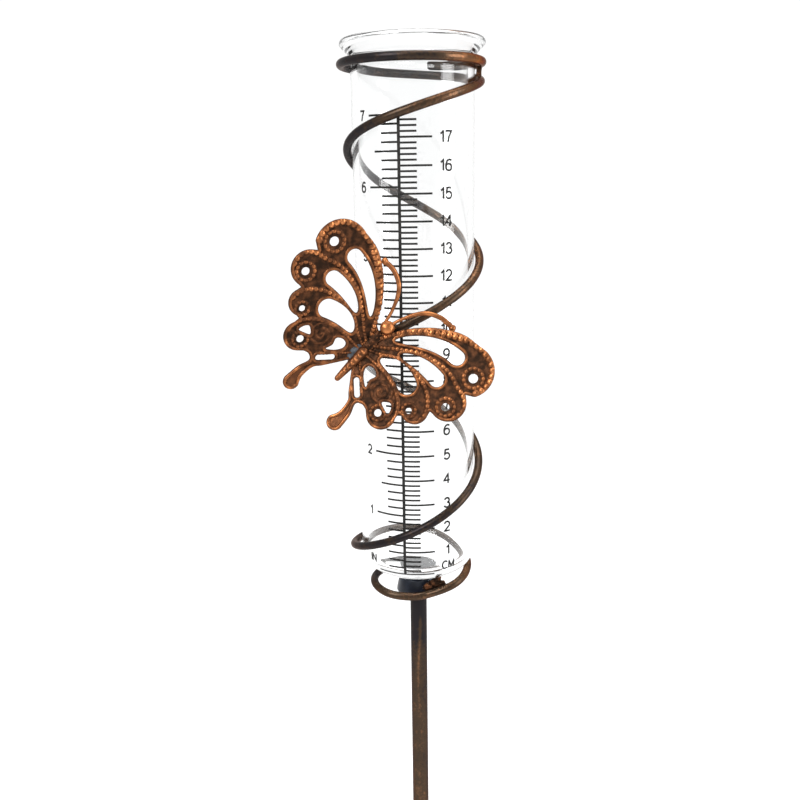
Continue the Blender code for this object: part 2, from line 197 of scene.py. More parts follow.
# The stamped relief of a wing, in millimetres.
WING_BACK = -0.5
WING_RIPPLE = 0.05
RIM_WIDTH = 1.25
RIM_HEIGHT = 0.6
BOUNDARY_STEP = 0.3
RIM_STEPS = (0.13, 0.36)
GRID_STEP = 0.24
BACK_GRID_STEP = 1.6
BEAD_START = 0.62  # the size of a row's first bead, as a share of its full-size beads
BEAD_GROWTH = 16.0  # millimetres along a row until its beads have their full size
# A bead row: its path, half its width, its pitch, its height and how deep its beads are cut.
BEAD_ROWS = (
    (((1.5, 3.5), (3.4, 7.2), (5.4, 10.4), (8.0, 13.7), (11.2, 16.9), (15.4, 20.2), (19.6, 23.0),
      (24.0, 25.5), (28.6, 27.2), (33.0, 27.6), (37.3, 26.9), (40.7, 24.8), (42.8, 21.6), (43.2, 18.0),
      (42.0, 14.6)), 1.4, 2.2, 1.0, 0.75),
    (((1.2, 0.4), (5.0, 2.9), (9.0, 6.0), (13.4, 9.0), (17.5, 11.4), (22.0, 12.7), (27.0, 13.4),
      (31.4, 13.1), (35.8, 11.7), (39.6, 10.7), (42.2, 8.8), (43.2, 5.6), (42.4, 2.2)), 1.0, 1.9, 0.85, 0.8),
    (((1.2, -1.4), (4.4, -0.2), (8.6, 1.9), (13.0, 3.9), (17.8, 4.9), (22.0, 4.8), (26.2, 3.8),
      (29.6, 2.0), (32.4, -0.6), (34.1, -3.8), (34.2, -6.6)), 0.95, 1.8, 0.8, 0.75),
    (((1.4, -3.4), (5.6, -3.1), (11.0, -3.0), (15.5, -3.5), (19.6, -4.7), (23.0, -6.7), (25.6, -9.4),
      (27.1, -12.6), (27.0, -15.8)), 0.9, 1.7, 0.75, 0.35),
    (((1.6, -5.6), (4.8, -8.4), (7.2, -10.3), (9.4, -12.5), (11.6, -14.4)), 0.75, 1.5, 0.7, 0.7),
)
BEAD_RINGS = (  # centre, radius, half the width of a bead, and how many beads
    ((37.6, 18.0), 3.6, 0.8, 13),
    ((37.6, 3.5), 3.3, 0.75, 12),
    ((28.8, -6.8), 2.5, 0.65, 10),
    ((21.1, -15.3), 2.8, 0.65, 11),
)
SWIRL_CENTRE = (16.4, -9.0)
SWIRL_RADIUS = 5.0
SWIRL_PITCH = 2.1

# Feelers, in millimetres from the butterfly's middle, mirrored for the other side.
FEELER_ROUTE = ((1.2, 11.0, 1.7), (1.7, 13.4, 2.0), (2.6, 16.0, 2.6), (4.4, 20.0, 3.4), (7.2, 23.6, 4.1),
                (11.5, 25.8, 4.8), (15.3, 26.2, 5.2), (17.0, 26.1, 5.4))
FEELER_RADII = (0.62, 0.62, 0.68, 0.78, 0.85, 0.9, 0.95, 0.95)
FEELER_KNOB = 1.3

# Camera and studio.
CAMERA_AT = Vector((-0.00188, -0.36911, 0.71763))
CAMERA_DOWN = 13.776
CAMERA_YAW = -0.742
CAMERA_ROLL = 0.907
CAMERA_LENS = 41.78
SENSOR = 36.0
FLOOR_RADIUS = 12.0


# Shapes ---------------------------------------------------------------------------


def arc(centre, radius, start, end, steps):
    """Points on a circle from one angle to another, in degrees."""
    points = []
    for step in range(steps + 1):
        angle = math.radians(start + (end - start) * step / steps)
        points.append((centre[0] + radius * math.cos(angle), centre[1] + radius * math.sin(angle)))
    return points


def through(knots, turn):
    """The value at a turn on a smooth curve through (turn, value) knots."""
    turns = [knot[0] for knot in knots]
    values = [knot[1] for knot in knots]
    last = len(knots) - 1
    i = min(max(bisect_right(turns, turn) - 1, 0), last - 1)

    def slope(k):
        low, high = max(k - 1, 0), min(k + 1, last)
        return (values[high] - values[low]) / (turns[high] - turns[low])

    span = turns[i + 1] - turns[i]
    s = (turn - turns[i]) / span
    start = (1 + 2 * s) * (1 - s) ** 2 * values[i] + s * (1 - s) ** 2 * span * slope(i)
    end = s * s * (3 - 2 * s) * values[i + 1] + s * s * (s - 1) * span * slope(i + 1)
    return start + end


def smooth_path(points, step, closed=False):
    """A Catmull-Rom curve through points, sampled at about an even step, as an array."""
    ends = ([points[-1]], [points[0], points[1]]) if closed else ([points[0]], [points[-1]])
    knots = np.array([*ends[0], *points, *ends[1]], float)
    made = []
    for a, b, c, d in zip(knots, knots[1:], knots[2:], knots[3:]):
        count = max(2, round(np.linalg.norm(c - b) / step))
        for s in np.arange(count) / count:
            bend = 2 * b + (c - a) * s + (2 * a - 5 * b + 4 * c - d) * s * s
            made.append((bend + (3 * b - a - 3 * c + d) * s ** 3) / 2)
    made.append(knots[-2])
    return np.array(made)


def resampled(path, step):
    """A polyline with its points moved to an even step; its two ends stay."""
    lengths = np.linalg.norm(np.diff(path, axis=0), axis=1)
    along = np.concatenate([[0.0], np.cumsum(lengths)])
    wanted = np.linspace(0.0, along[-1], max(2, round(along[-1] / step)) + 1)
    return np.stack([np.interp(wanted, along, path[:, k]) for k in range(path.shape[1])], axis=1)


def cut_up(path, step):
    """A path with its corners kept and its long straight runs cut into steps."""
    made = [tuple(path[0])]
    for point in path[1:]:
        last = np.array(made[-1])
        count = max(1, round(math.dist(last, point) / step))
        made += [tuple(last + (np.array(point) - last) * (i + 1) / count) for i in range(count)]
    return made


def coil_point(turn):
    """A point on the middle line of the spiral's wire."""
    radius = through(COIL_RADII, turn) * MM
    height = SCALE_ZERO + through(COIL_HEIGHTS, turn) * MM
    angle = 2 * math.pi * turn
    return Vector((radius * math.cos(angle), radius * math.sin(angle), height))


def lathe(profile, segments, ring=False):
    """Vertices and faces of a solid of revolution about Z, from (radius, height) points.

    The profile runs from the axis round the outside and back to the axis, or is a ring.
    """
    vertices, faces, rows = [], [], []
    for radius, height in profile:
        count = 1 if radius < 1e-9 else segments
        rows.append([len(vertices) + i for i in range(count)])
        for i in range(count):
            angle = 2 * math.pi * i / segments
            vertices.append((radius * math.cos(angle), radius * math.sin(angle), height))
    following = rows[1:] + ([rows[0]] if ring else [])
    for row, other in zip(rows, following):
        for i in range(segments):
            j = i + 1
            corners = [row[i % len(row)], row[j % len(row)], other[j % len(other)], other[i % len(other)]]
            corners = list(dict.fromkeys(corners))
            if len(corners) > 2:
                faces.append(corners)
    return vertices, faces


def swept(points, radii, sides, hint=Vector((0, 0, 1))):
    """A round bar along points, with a domed end at both ends."""
    points = [Vector(p) for p in points]
    beyond = [points[0], *points, points[-1]]
    tangents = [(after - before).normalized() for before, after in zip(beyond, beyond[2:])]

    def end_rows(k, side):
        """Three rings of a domed end."""
        return [(points[k] + side * tangents[k] * radii[k] * math.sqrt(1 - share * share), tangents[k],
                 radii[k] * share) for share in (0.3, 0.7, 0.95)]

    rows = [*end_rows(0, -1), *zip(points, tangents, radii), *reversed(end_rows(-1, 1))]
    vertices, faces = [], []
    for centre, tangent, radius in rows:
        across = tangent.cross(hint).normalized()
        up = across.cross(tangent)
        for x, y in arc((0.0, 0.0), radius, 0, 360, sides)[:-1]:
            vertices.append(centre + across * x + up * y)
    for low in range(0, (len(rows) - 1) * sides, sides):
        for i in range(sides):
            j = (i + 1) % sides
            faces.append([low + i, low + j, low + sides + j, low + sides + i])
    for start, k, side in ((0, 0, -1), ((len(rows) - 1) * sides, -1, 1)):
        vertices.append(points[k] + side * tangents[k] * radii[k])
        faces += [[start + i, start + (i + 1) % sides, len(vertices) - 1] for i in range(sides)]
    return vertices, faces


def lump(centre, semi_axes, axes, roughness, seed):
    """A rounded blob of metal: a rippled ellipsoid along three axes, its semi-axes in millimetres."""
    mesh = bmesh.new()
    bmesh.ops.create_icosphere(mesh, subdivisions=4, radius=1.0)
    offset = Vector((seed, 2 * seed, 3 * seed))
    vertices = []
    for vertex in mesh.verts:
        swell = 1 + roughness * noise.noise(vertex.co * 1.7 + offset)
        swell += 0.4 * roughness * noise.noise(vertex.co * 4.5 + offset)
        place = vertex.co * swell * MM
        vertices.append(centre + sum((axes[k] * place[k] * semi_axes[k] for k in range(3)), Vector()))
    mesh.verts.index_update()
    faces = [[v.index for v in f.verts] for f in mesh.faces]
    mesh.free()
    return vertices, faces


def joined(*parts):
    """Several (vertices, faces) as one."""
    vertices, faces = [], []
    for some, corners in parts:
        start = len(vertices)
        vertices += [Vector(v) for v in some]
        faces += [[start + i for i in face] for face in corners]
    return vertices, faces


def add_object(name, data):
    """A new object in the scene."""
    item = bpy.data.objects.new(name, data)
    bpy.context.scene.collection.objects.link(item)
    return item


def add_piece(name, shape, material, body, *nodes, slot=None, sharp=45):
    """A named piece that rides on a body and stands for CAD nodes."""
    vertices, faces = shape
    data = bpy.data.meshes.new(name)
    data.from_pydata([tuple(v) for v in vertices], [], faces)
    mesh = bmesh.new()
    mesh.from_mesh(data)
    bmesh.ops.recalc_face_normals(mesh, faces=mesh.faces)
    mesh.to_mesh(data)
    mesh.free()
    data.shade_smooth()
    data.set_sharp_from_angle(angle=math.radians(sharp))
    data.materials.append(material)
    item = add_object(name, data)
    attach(item, body)
    if nodes:
        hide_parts(*nodes)
    return item


def paint(item, name, values):
    """Stores one number per vertex for the item's material."""
    layer = item.data.attributes.new(name, "FLOAT", "POINT")
    layer.data.foreach_set("value", np.asarray(values, dtype=np.float32))


def add_copper(name, shape, material, node, relief, sharp=80):
    """A piece of antique copper on the holder, painted with its wear and, on the wings, a painted highlight.
    """
    item = add_piece(name, shape, material, HOLDER, node, slot="antique_copper", sharp=sharp)
    paint(item, "relief", relief)


def wandering(shape, middle, swing, size):
    """A number for each vertex that wanders by a swing over this many millimetres."""
    return [middle + swing * noise.noise(Vector(v) / (size * MM)) for v in shape[0]]


# Materials ------------------------------------------------------------------------


def principled(name):
    """A new material's node tree and its Principled shader."""
    material = bpy.data.materials.new(name)
    material.use_nodes = True
    tree = material.node_tree
    return material, tree, tree.nodes["Principled BSDF"]


def feed(tree, node, inputs):
    """Gives a node its inputs, each a value or another node's output."""
    for name, value in inputs.items():
        if isinstance(value, bpy.types.NodeSocket):
            tree.links.new(value, node.inputs[name])
        else:
            node.inputs[name].default_value = value


def add_node(tree, kind, output, inputs=None, **settings):
    """One output of a new shader node with these inputs and settings."""
    node = tree.nodes.new("ShaderNode" + kind)
    for name, value in settings.items():
        setattr(node, name, value)
    feed(tree, node, inputs or {})
    return node.outputs[output]


def speckle(tree, scale, detail=3.0, stretch=(1, 1, 1)):
    """A noise of this scale in the object's own space."""
    place = add_node(tree, "TexCoord", "Object")
    turned = add_node(tree, "Mapping", "Vector", {"Vector": place, "Scale": stretch})
    return add_node(tree, "TexNoise", "Fac", {"Vector": turned, "Scale": scale, "Detail": detail})


def ramp(tree, factor, stops):
    """A colour ramp with (place, colour) stops."""
    node = tree.nodes.new("ShaderNodeValToRGB")
    node.color_ramp.interpolation = "EASE"
    elements = node.color_ramp.elements
    while len(elements) < len(stops):
        elements.new(0.5)
    for element, (place, colour) in zip(elements, stops):
        element.position = place
        element.color = (*colour, 1.0)
    feed(tree, node, {"Fac": factor})
    return node.outputs["Color"]


def maths(tree, operation, first, second, clamp=False):
    """One arithmetic node; each side is a number or another node's output."""
    return add_node(tree, "Math", "Value", {0: first, 1: second}, operation=operation, use_clamp=clamp)


def spread(tree, factor, low, high, start=0.0, end=1.0):
    """A factor mapped from a start and an end to a low and a high."""
    return add_node(tree, "MapRange", "Result", {
        "Value": factor, "From Min": start, "From Max": end, "To Min": low, "To Max": high})


def attribute(tree, name):
    """The number that paint() stored."""
    return add_node(tree, "Attribute", "Fac", attribute_name=name)


def bumps(tree, height, strength, depth):
    """A normal with fine bumps up to this many millimetres deep."""
    inputs = {"Height": height, "Strength": strength, "Distance": depth * MM}
    return add_node(tree, "Bump", "Normal", inputs)


DARK_PATINA = (0.020, 0.011, 0.007)
BROWN_PATINA = (0.090, 0.036, 0.017)
WARM_COPPER = (0.21, 0.078, 0.030)
BRIGHT_COPPER = (0.45, 0.172, 0.063)
EDGE_TINT = (0.35, 0.22, 0.15, 1.0)  # keeps the metal dark where it turns away


def worn_metal(name, painted, patches, grain, stops, specular, roughness, bump):
    """Metal whose dark finish turns to copper where the painted number is high: wear, plus painted
    highlights.

    Patches are noises (scale, detail, weight) that vary the wear. The roughness is for the
    whole finish, for bare metal, and what the grain adds. The bump is a strength and a depth.
    """
    material, tree, shader = principled(name)
    mottle = 0.0
    for scale, detail, weight in patches:
        patch = speckle(tree, scale, detail)
        change = maths(tree, "MULTIPLY", maths(tree, "SUBTRACT", patch, 0.5), weight)
        mottle = maths(tree, "ADD", mottle, change)
    wear_and_highlight = maths(tree, "ADD", attribute(tree, painted), mottle, clamp=True)
    grain = speckle(tree, *grain)
    whole, worn, rough_grain = roughness
    feed(tree, shader, {
        "Base Color": ramp(tree, wear_and_highlight, stops),
        "Metallic": spread(tree, wear_and_highlight, 0.6, 0.95),
        "Specular IOR Level": specular,
        "Specular Tint": EDGE_TINT,
        "Roughness": maths(tree, "ADD", spread(tree, wear_and_highlight, whole, worn),
                           maths(tree, "MULTIPLY", grain, rough_grain)),
        "Normal": bumps(tree, maths(tree, "ADD", grain, patch), *bump),
    })
    return material


def antique_copper(name):
    """Copper with a dark patina left in the recesses; the painted relief is its wear and, on the wings, a
    painted highlight.
    """
    stops = ((0.0, DARK_PATINA), (0.3, BROWN_PATINA), (0.62, WARM_COPPER), (0.95, BRIGHT_COPPER))
    return worn_metal(name, "relief", [(420.0, 4.0, 0.7)], (2600.0, 3.0), stops, specular=0.12,
                      roughness=(0.46, 0.24, 0.12), bump=(0.35, 0.06))


def dark_bronze(name):
    """A dark brown plated wire or tube, turned to copper where the painted rub_and_highlight is high; on the
    stake this includes a painted highlight streak.
    """
    stops = ((0.0, (0.015, 0.014, 0.016)), (0.3, (0.045, 0.030, 0.020)), (0.65, (0.135, 0.068, 0.036)),
             (1.0, (0.42, 0.19, 0.095)))
    return worn_metal(name, "rub_and_highlight", [(160.0, 4.0, 0.6), (900.0, 3.0, 0.5)], (3200.0, 2.0), stops,
                      specular=0.3, roughness=(0.26, 0.18, 0.1), bump=(0.25, 0.05))


def clouded(name, clouds, grain, stops, roughness, bump=None, metallic=0.0, specular=0.5):
    """A material with clouds of colour and a grain of roughness, each a noise (scale, detail)."""
    material, tree, shader = principled(name)
    clouds, grain = speckle(tree, *clouds), speckle(tree, *grain)
    feed(tree, shader, {
        "Base Color": ramp(tree, clouds, stops),
        "Roughness": spread(tree, grain, *roughness),
        "Metallic": metallic,
        "Specular IOR Level": specular,
    })
    if bump:
        feed(tree, shader, {"Normal": bumps(tree, grain, *bump)})
    return material


def black_steel(name):
    """Blue-black painted steel with a satin sheen."""
    stops = ((0.3, (0.003, 0.004, 0.008)), (0.75, (0.012, 0.015, 0.024)))
    return clouded(name, (240.0, 3.0), (2400.0, 2.0), stops, (0.26, 0.42), bump=(0.15, 0.03),
                   metallic=0.2, specular=0.35)


def black_rubber(name):
    """Matt black rubber with a fine moulded grain."""
    stops = ((0.3, (0.006, 0.006, 0.008)), (0.8, (0.020, 0.021, 0.026)))
    return clouded(name, (300.0, 2.0), (3000.0, 3.0), stops, (0.45, 0.62), bump=(0.4, 0.04))


def black_ink(name):
    """Fired black print, a little uneven."""
    stops = ((0.3, (0.010, 0.010, 0.010)), (0.8, (0.030, 0.028, 0.026)))
    return clouded(name, (900.0, 3.0), (900.0, 3.0), stops, (0.35, 0.6), specular=0.1)


def solder(name):
    """Dull blue-grey solder."""
    stops = ((0.3, (0.03, 0.035, 0.042)), (0.75, (0.12, 0.13, 0.145)))
    return clouded(name, (500.0, 3.0), (500.0, 3.0), stops, (0.25, 0.45), bump=(0.3, 0.08), metallic=0.6)


def clear_glass(name):
    """Clear glass with faint waves.

    It lets lamps through so that shadows stay light. Light that has turned more often than the
    painted "turns" is replaced by the "painted_glow": painted white light in the round bottom and
    painted near-black shade in the lip.
    """
    material, tree, shader = principled(name)
    waves = speckle(tree, 45.0, 2.0, (1, 1, 0.25))
    feed(tree, shader, {
        "Transmission Weight": 1.0,
        "IOR": 1.47,
        "Specular IOR Level": 0.3,
        "Base Color": ramp(tree, waves, ((0.2, (0.985, 0.992, 0.992)), (0.8, (1.0, 1.0, 1.0)))),
        "Roughness": spread(tree, waves, 0.0, 0.02),
        "Normal": bumps(tree, waves, 0.08, 0.3),
    })
    # Painted light and shade: trapped light becomes a white glow in the bottom and a near-black glow in the
    # lip.
    depth = add_node(tree, "LightPath", "Ray Depth")
    shadow = add_node(tree, "LightPath", "Is Shadow Ray")
    trapped = maths(tree, "GREATER_THAN", depth, attribute(tree, "turns"))
    painted_glow = add_node(tree, "Emission", "Emission", {"Strength": attribute(tree, "painted_glow")})
    clear = add_node(tree, "BsdfTransparent", "BSDF", {"Color": (0.93, 0.94, 0.94, 1.0)})
    glass = add_node(tree, "MixShader", "Shader", {0: trapped, 1: shader.outputs["BSDF"], 2: painted_glow})
    either = add_node(tree, "MixShader", "Shader", {0: shadow, 1: glass, 2: clear})
    feed(tree, tree.nodes["Material Output"], {"Surface": either})
    return material


# Measuring tube -------------------------------------------------------------------


def bowl(radius, bottom, steps=40):
    """The section of a rounded bottom, from the axis out to a wall's radius."""
    points = [(0.0, bottom)]
    for step in range(1, steps + 1):
        angle = math.pi / 2 * (1 - step / steps)
        across = radius * math.cos(angle) ** (2 / BOWL_POWER)
        down = (BOWL_RIM - bottom) * math.sin(angle) ** (2 / BOWL_POWER)
        points.append((across, BOWL_RIM - down))
    return points


BOWL = np.array(bowl(GLASS_RADIUS, GLASS_FOOT))[::-1]
BOWL_WAY = np.concatenate([[0.0], np.cumsum(np.linalg.norm(np.diff(BOWL, axis=0), axis=1))])


def make_glass():
    """The tube: rounded bottom, straight wall, flared mouth with a rolled lip."""
    foot = bowl(GLASS_RADIUS, GLASS_FOOT)
    bead = arc((LIP_RADIUS - LIP_BEAD, LIP_TOP - LIP_BEAD), LIP_BEAD, -40, 150, 20)
    outer = smooth_path([(GLASS_RADIUS, FLARE_START - 3 * MM), (GLASS_RADIUS, FLARE_START),
                         (GLASS_RADIUS + 1.0 * MM, FLARE_START + 2.0 * MM), bead[0]], 0.5 * MM)
    inner = smooth_path([bead[-1], (GLASS_BORE + 1.3 * MM, FLARE_START + 2.5 * MM),
                         (GLASS_BORE, FLARE_START), (GLASS_BORE, FLARE_START - 3 * MM)], 0.5 * MM)
    profile = [*foot, *outer[:-1], *bead, *inner[1:], *reversed(bowl(GLASS_BORE, GLASS_FLOOR))]
    profile = [(radius, height + SCALE_ZERO) for radius, height in profile]
    glass = add_piece("measuring_glass", lathe(profile, 128), clear_glass("clear_glass"), TUBE,
                      "glass_tube", slot="clear_glass", sharp=60)
    heights = np.array([vertex.co.z - SCALE_ZERO for vertex in glass.data.vertices])
    bottom, lip = heights < BOWL_RIM + 1 * MM, heights > FLARE_START
    # Painted light in the round bottom, painted shade in the lip, where light is trapped in the glass.
    paint(glass, "painted_glow", np.where(bottom, BOTTOM_PAINTED_LIGHT, LIP_PAINTED_SHADE))
    paint(glass, "turns", np.where(bottom, BOTTOM_TURNS, np.where(lip, LIP_TURNS, WALL_TURNS)))


def on_tube(angle, height, lift):
    """A point on the tube: degrees from the front, height on the scale, and lift off the glass.

    Below the bowl's rim the height counts along the curve of the bottom.
    """
    turn = math.radians(angle)
    radius, level = GLASS_RADIUS, height
    if height < BOWL_RIM:
        radius = np.interp(BOWL_RIM - height, BOWL_WAY, BOWL[:, 0])
        level = np.interp(BOWL_RIM - height, BOWL_WAY, BOWL[:, 1])
    radius += lift
    return Vector((radius * math.sin(turn), -radius * math.cos(turn), SCALE_ZERO + level))


def ink_stroke(path, width):
    """A stroke of ink along a path: metres round the tube from its front, and metres up the scale."""
    path = np.array(cut_up(path, 0.6 * MM))
    ahead = np.diff(path, axis=0)
    ahead /= np.linalg.norm(ahead, axis=1)[:, None]
    after = np.vstack([ahead, ahead[-1:]])
    middle = np.vstack([ahead[:1], ahead]) + after
    middle /= np.linalg.norm(middle, axis=1)[:, None]
    miter = np.clip((middle * after).sum(axis=1), 0.6, 1.0)
    across = np.stack([-middle[:, 1], middle[:, 0]], axis=1) * (width / 2 / miter)[:, None]
    vertices, faces = [], []
    for left, right in zip(path + across, path - across):
        for (x, y), lift in ((left, 0.0), (right, 0.0), (right, INK_THICKNESS), (left, INK_THICKNESS)):
            vertices.append(on_tube(math.degrees(x / GLASS_RADIUS), y, INK_LIFT + lift))
    last = 4 * (len(path) - 1)
    for low in range(0, last, 4):
        for k in range(4):
            faces.append([low + k, low + (k + 1) % 4, low + 4 + (k + 1) % 4, low + 4 + k])
    faces += [[0, 1, 2, 3], [last + k for k in (3, 2, 1, 0)]]
    return vertices, faces


def round_tube(angle):
    """Metres round the tube's outside for degrees from its front."""
    return math.radians(angle) * GLASS_RADIUS


def tick(height, end):
    """A tick from the scale's line out to an angle."""
    return ink_stroke([(round_tube(SCALE_LINE_ANGLE), height), (round_tube(end), height)], TICK_WIDTH)


def make_scale_lines(ink):
    """The upright line, millimetre pairs to the right and eighths of an inch to the left."""
    middle = round_tube(SCALE_LINE_ANGLE)
    foot, top = -TICK_WIDTH / 2, INCHES * INCH + TICK_WIDTH / 2
    bars = [ink_stroke([(middle, foot), (middle, top)], SCALE_LINE_WIDTH)]
    for step in range(CENTIMETRES * 5 + 4):
        size = "short" if step % 5 else "long"
        bars.append(tick(step * 2 * MM, CM_TICK_ENDS[size]))
    for step in range(INCHES * 8 + 1):
        size = "short" if step % 4 else "half" if step % 8 else "long"
        bars.append(tick(step * INCH / 8, INCH_TICK_ENDS[size]))
    add_piece("scale_lines", joined(*bars), ink, TUBE, sharp=30)


def bow(centre, semi_axes, start, end, steps=14):
    """Points on an ellipse from one angle to another, in degrees."""
    return [(centre[0] + semi_axes[0] * x, centre[1] + semi_axes[1] * y)
            for x, y in arc((0.0, 0.0), 1.0, start, end, steps)]


def glyph(mark):
    """The strokes of a plain digit or letter, one unit high."""
    if mark == "9":
        return [[(0.68 - x, 1.0 - y) for x, y in stroke] for stroke in glyph("6")]
    return {
        "0": [bow((0.34, 0.5), (0.32, 0.5), 0, 360, 28)],
        "1": [[(0.12, 0.74), (0.3, 0.86), (0.4, 1.0), (0.4, 0.0)]],
        "2": [[*bow((0.34, 0.7), (0.3, 0.3), 165, -38), (0.04, 0.0), (0.68, 0.0)]],
        "3": [bow((0.33, 0.75), (0.27, 0.25), 165, -85), bow((0.33, 0.27), (0.32, 0.27), 85, -165)],
        "4": [[(0.5, 0.0), (0.5, 1.0), (0.02, 0.32), (0.7, 0.32)]],
        "5": [[(0.62, 1.0), (0.16, 1.0), (0.08, 0.5), *bow((0.34, 0.32), (0.32, 0.32), 130, -155)]],
        "6": [bow((0.34, 0.31), (0.31, 0.31), 0, 360, 24), bow((0.42, 0.4), (0.39, 0.6), 190, 55)],
        "7": [[(0.02, 1.0), (0.68, 1.0), (0.4, 0.5), (0.28, 0.0)]],
        "8": [bow((0.34, 0.75), (0.26, 0.25), 0, 360, 24), bow((0.34, 0.26), (0.31, 0.26), 0, 360, 24)],
        "C": [bow((0.42, 0.5), (0.4, 0.5), 45, 315, 24)],
        "I": [[(0.1, 0.0), (0.1, 1.0)]],
        "M": [[(0.02, 0.0), (0.02, 1.0), (0.4, 0.08), (0.78, 1.0), (0.78, 0.0)]],
        "N": [[(0.02, 0.0), (0.02, 1.0), (0.64, 0.0), (0.64, 1.0)]],
    }[mark]


def printed_text(text, angle, height, size):
    """Strokes for text on the tube, centred at an angle and a height."""
    strokes, pen = [], 0.0
    for mark in text:
        strokes += [[(x + pen, y) for x, y in stroke] for stroke in glyph(mark)]
        pen = max(x for stroke in strokes for x, _ in stroke) + GLYPH_GAP
    start = round_tube(angle) - (pen - GLYPH_GAP) / 2 * size
    return [ink_stroke([(start + x * size, height + (y - 0.5) * size) for x, y in stroke], PEN_WIDTH)
            for stroke in strokes]


def make_scale_numbers(ink):
    """Numbers for each centimetre and each inch, and the two units at the foot."""
    strokes = [*printed_text("CM", 31.0, 3.5 * MM, UNIT_HEIGHT),
               *printed_text("IN", -51.0, 4.8 * MM, UNIT_HEIGHT)]
    for count, angle, step, height in ((CENTIMETRES, CM_NUMBER_ANGLE, 10 * MM, NUMBER_HEIGHT),
                                       (INCHES, INCH_NUMBER_ANGLE, INCH, NUMBER_HEIGHT * 0.9)):
        for number in range(1, count + 1):
            strokes += printed_text(str(number), angle, number * step, height)
    add_piece("scale_numbers", joined(*strokes), ink, TUBE, sharp=30)


# Stake, head and spiral -----------------------------------------------------------


def rounded_side(radius, low, high, edge):
    """The outer side of a turned piece whose two edges are rounded."""
    middle = radius - edge
    return [*arc((middle, low + edge), edge, -90, 0, 4), *arc((middle, high - edge), edge, 0, 90, 4)]


def paint_stake(item):
    """The stake is black below its head, turns browner, and has a painted highlight: a copper streak down
    its front.
    """
    places = np.array([vertex.co for vertex in item.data.vertices])
    below = HEAD_LOW - places[:, 2]
    fall = np.clip(below / BROWN_REACH - 0.25, 0.0, 1.0)
    turn = np.degrees(np.arctan2(places[:, 0], -places[:, 1])) - 10 * np.sin(below / (9 * MM))
    # Painted highlight: a copper streak down the stake's front, where a lamp's reflection runs.
    painted_highlight = np.exp(-(turn / HIGHLIGHT_STREAK_HALF_ANGLE) ** 2) * np.clip(below / HIGHLIGHT_STREAK_START - 0.3, 0, 1)
    paint(item, "rub_and_highlight", 0.3 * fall + 0.4 * painted_highlight * np.clip(1.6 - below / BROWN_REACH, 0.15, 1))


def make_stake():
    """Two tubes, the spigot between them and a solid point."""
    bronze = dark_bronze("stake_bronze")
    for name, node, body in (("stake_upper_tube", "upper_stake_tube", HOLDER),
                             ("stake_lower_tube", "lower_stake_tube", STAKE)):
        low, high = (corner.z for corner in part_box(node))
        side = rounded_side(STAKE_RADIUS, low, high, 0.3 * MM)
        profile = cut_up([*side, (STAKE_BORE, high), (STAKE_BORE, low)], 3 * MM)
        tube = add_piece(name, lathe(profile, 48, ring=True), bronze, body, node, slot="dark_bronze")
        paint_stake(tube)

    low, high = (corner.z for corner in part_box("stake_point"))
    nose = arc((0.0, low + TIP_FLAT * 0.8), TIP_FLAT * 0.8, -90, -20, 6)
    shoulder = [(STAKE_RADIUS, high - 0.5 * MM), (STAKE_RADIUS - 0.3 * MM, high), (0.0, high)]
    point = cut_up([(max(r, 0.0), z) for r, z in nose] + shoulder, 3 * MM)
    tip = add_piece("stake_tip", lathe(point, 48), bronze, STAKE, "stake_point", slot="dark_bronze")
    paint_stake(tip)

    low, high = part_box("joint_spigot")
    chamfer = 1.0 * MM
    profile = [(0.0, low.z), (high.x, low.z), (high.x, high.z - chamfer), (high.x - chamfer, high.z),
               (0.0, high.z)]
    add_piece("spigot_pin", lathe(profile, 40), black_steel("spigot_steel"), STAKE, "joint_spigot",
              slot="black_steel", sharp=30)


def make_head():
    """The steel cap on the stake."""
    low, high = (corner.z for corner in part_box("stake_head"))
    socket = STAKE_RADIUS + 0.15 * MM
    edge = 0.7 * MM
    side = arc((HEAD_TOP_RADIUS - edge, high - edge), edge, 0, 90, 6)
    skirt = [(HEAD_SKIRT_RADIUS - 0.5 * MM, low), (HEAD_SKIRT_RADIUS, low + 0.6 * MM),
             (HEAD_SKIRT_RADIUS - 0.1 * MM, low + 1.6 * MM), (HEAD_TOP_RADIUS + 0.2 * MM, high - 2.4 * MM)]
    profile = [(0.0, low + HEAD_SOCKET), (socket, low + HEAD_SOCKET), (socket, low), *skirt, *side,
               (0.0, high)]
    add_piece("head_cap", lathe(profile, 72), black_steel("head_steel"), HOLDER, "stake_head",
              slot="black_steel")


def make_pad():
    """The rubber pad under the glass."""
    low, high = (corner.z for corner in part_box("rest_pad"))
    disc = lathe([(0.0, low), *rounded_side(PAD_RADIUS, low, high, 0.5 * MM), (0.0, high)], 72)
    add_piece("pad_disc", disc, black_rubber("pad_rubber"), HOLDER, "rest_pad", slot="black_rubber")


def make_spiral():
    """The one wire: base loop, open spiral and top ring."""
    turns = np.linspace(COIL_START, COIL_END, round((COIL_END - COIL_START) * 90) + 1)
    sides = 24
    bar = swept([coil_point(turn) for turn in turns], [WIRE_RADIUS] * len(turns), sides)
    wire = add_piece("spiral", bar, dark_bronze("wire_bronze"), HOLDER, "spiral_wire", slot="dark_bronze")
    rings = np.clip(np.arange(-3, len(turns) + 3), 0, len(turns) - 1)  # a domed end adds three
    rub_and_highlight = [through(WIRE_RUB, turns[ring]) for ring in rings]
    paint(wire, "rub_and_highlight", np.concatenate([np.repeat(rub_and_highlight, sides), [rub_and_highlight[0], rub_and_highlight[-1]]]))


